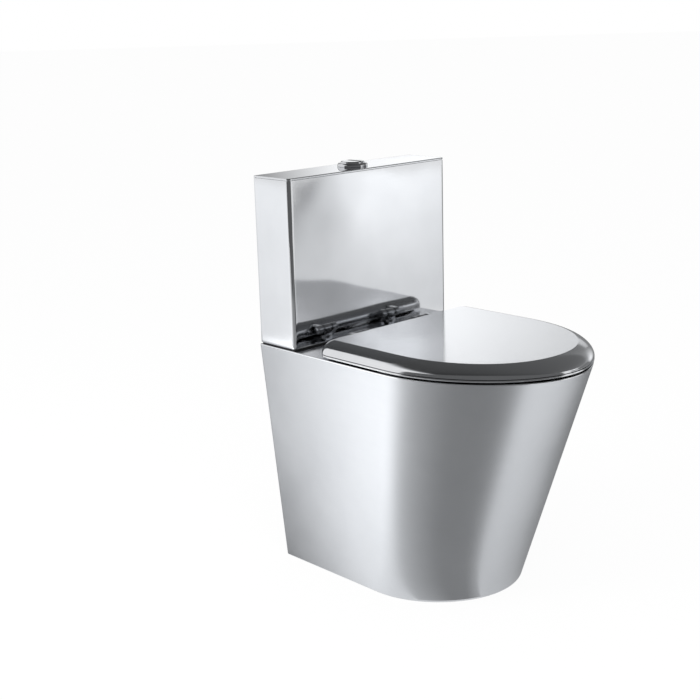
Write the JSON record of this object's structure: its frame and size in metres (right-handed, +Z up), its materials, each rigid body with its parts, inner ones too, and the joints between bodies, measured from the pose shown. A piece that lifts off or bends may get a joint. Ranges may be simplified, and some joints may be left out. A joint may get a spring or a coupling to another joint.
{
  "type": "toilet suite",
  "caption": "Stainless steel close-coupled toilet: tapered back-to-wall pan, slim cistern with round push button, polished lid and seat on hinges.",
  "frame": {"origin": "on the floor under the middle of the overall box", "axes": "+Z up, +Y towards the wall behind the cistern, +X to the right seen from the front"},
  "size_m": [0.376, 0.523, 0.6945],
  "materials": {
    "pan_steel": "satin, brushed along the skin",
    "cistern_steel": "fine satin, nearly polished",
    "polished_steel": "mirror polished",
    "bowl_steel": "fine satin",
    "fastener_steel": "bright zinc",
    "button_chrome": "bright chrome",
    "black_rubber": "matt",
    "white_plastic": "satin moulded",
    "inlet_brass": "turned"
  },
  "bodies": {
    "pan": {"pan_shroud": "pan_steel", "cistern_shell": "cistern_steel", "cistern_top": "cistern_steel", "pan_deck": "polished_steel", "hinge_posts": "polished_steel", "bowl": "bowl_steel", "bowl_sump": "bowl_steel", "flush_rim": "bowl_steel", "flush_duct": "bowl_steel", "trap_inlet": "bowl_steel", "trap_bend": "bowl_steel", "trap_outlet": "bowl_steel", "outlet_spigot": "bowl_steel", "rear_brace": "bowl_steel", "floor_brackets": "bowl_steel", "hinge_studs": "fastener_steel", "hinge_nuts": "fastener_steel", "coupling_bolts": "fastener_steel", "coupling_wing_nuts": "fastener_steel", "full_button_spring": "fastener_steel", "half_button_spring": "fastener_steel", "button_bezel": "button_chrome", "cistern_gasket": "black_rubber", "hinge_washers": "black_rubber", "coupling_washers": "black_rubber", "valve_washer": "black_rubber", "inlet_washer": "black_rubber", "bezel_nut": "white_plastic", "valve_base": "white_plastic", "valve_back_nut": "white_plastic", "valve_tower": "white_plastic", "fill_valve_body": "white_plastic", "fill_valve_cap": "white_plastic", "inlet_nut": "inlet_brass"},
    "seat": {"seat_ring": "polished_steel", "seat_hinge_brackets": "polished_steel", "seat_bumpers": "black_rubber", "hinge_pins": "polished_steel"},
    "lid": {"lid": "polished_steel", "lid_hinge_brackets": "polished_steel", "lid_bumpers": "black_rubber"},
    "full_button": {"full_flush_button": "button_chrome", "full_push_rod": "white_plastic"},
    "half_button": {"half_flush_button": "button_chrome", "half_push_rod": "white_plastic"},
    "full_rocker": {"full_rocker": "white_plastic"},
    "half_rocker": {"half_rocker": "white_plastic"},
    "flush_tube": {"overflow_tube": "white_plastic", "flush_seal": "black_rubber"},
    "half_ring": {"half_lift_ring": "white_plastic"},
    "float": {"fill_float": "white_plastic", "float_rod": "white_plastic"},
    "float_lever": {"float_lever": "white_plastic"}
  },
  "joints": [
    {"name": "seat_hinge", "type": "hinge", "parent": "pan", "child": "seat", "pos_m": [0, 0.1335, 0.414], "axis": [1, 0, 0], "range_deg": [-93, 0]},
    {"name": "lid_hinge", "type": "hinge", "parent": "seat", "child": "lid", "pos_m": [0, 0.1335, 0.414], "axis": [-1, 0, 0], "range_deg": [0, 93]},
    {"name": "full_button_press", "type": "slide", "parent": "pan", "child": "full_button", "axis": [0, 0, -1], "range_m": [0, 0.008], "stiffness_N_per_m": 600, "springref_m": -0.003, "deforming": ["full_button_spring"]},
    {"name": "half_button_press", "type": "slide", "parent": "pan", "child": "half_button", "axis": [0, 0, -1], "range_m": [0, 0.008], "stiffness_N_per_m": 600, "springref_m": -0.003, "deforming": ["half_button_spring"]},
    {"name": "full_rocker_pivot", "type": "hinge", "parent": "pan", "child": "full_rocker", "pos_m": [-0.05, 0.21775, 0.6234], "axis": [0, -1, 0], "range_deg": [0, 28.7]},
    {"name": "half_rocker_pivot", "type": "hinge", "parent": "pan", "child": "half_rocker", "pos_m": [0.05, 0.21775, 0.6014], "axis": [0, 1, 0], "range_deg": [0, 28.7]},
    {"name": "flush_tube_lift", "type": "slide", "parent": "pan", "child": "flush_tube", "axis": [0, 0, 1], "range_m": [0, 0.014]},
    {"name": "half_ring_lift", "type": "slide", "parent": "pan", "child": "half_ring", "axis": [0, 0, 1], "range_m": [0, 0.014]},
    {"name": "float_rise", "type": "slide", "parent": "pan", "child": "float", "axis": [0, 0, 1], "range_m": [0, 0.012]},
    {"name": "float_lever_pivot", "type": "hinge", "parent": "pan", "child": "float_lever", "pos_m": [0.16, 0.21775, 0.6355], "axis": [0, 1, 0], "range_deg": [0, 15.4]}
  ],
  "couplings": [
    {"joint": "full_rocker_pivot", "follows": "full_button_press", "rad_per_m": 62.5},
    {"joint": "flush_tube_lift", "follows": "full_button_press", "ratio": 1.75},
    {"joint": "half_rocker_pivot", "follows": "half_button_press", "rad_per_m": 62.5},
    {"joint": "half_ring_lift", "follows": "half_button_press", "ratio": 1.75},
    {"joint": "float_lever_pivot", "follows": "float_rise", "rad_per_m": 22.222}
  ]
}
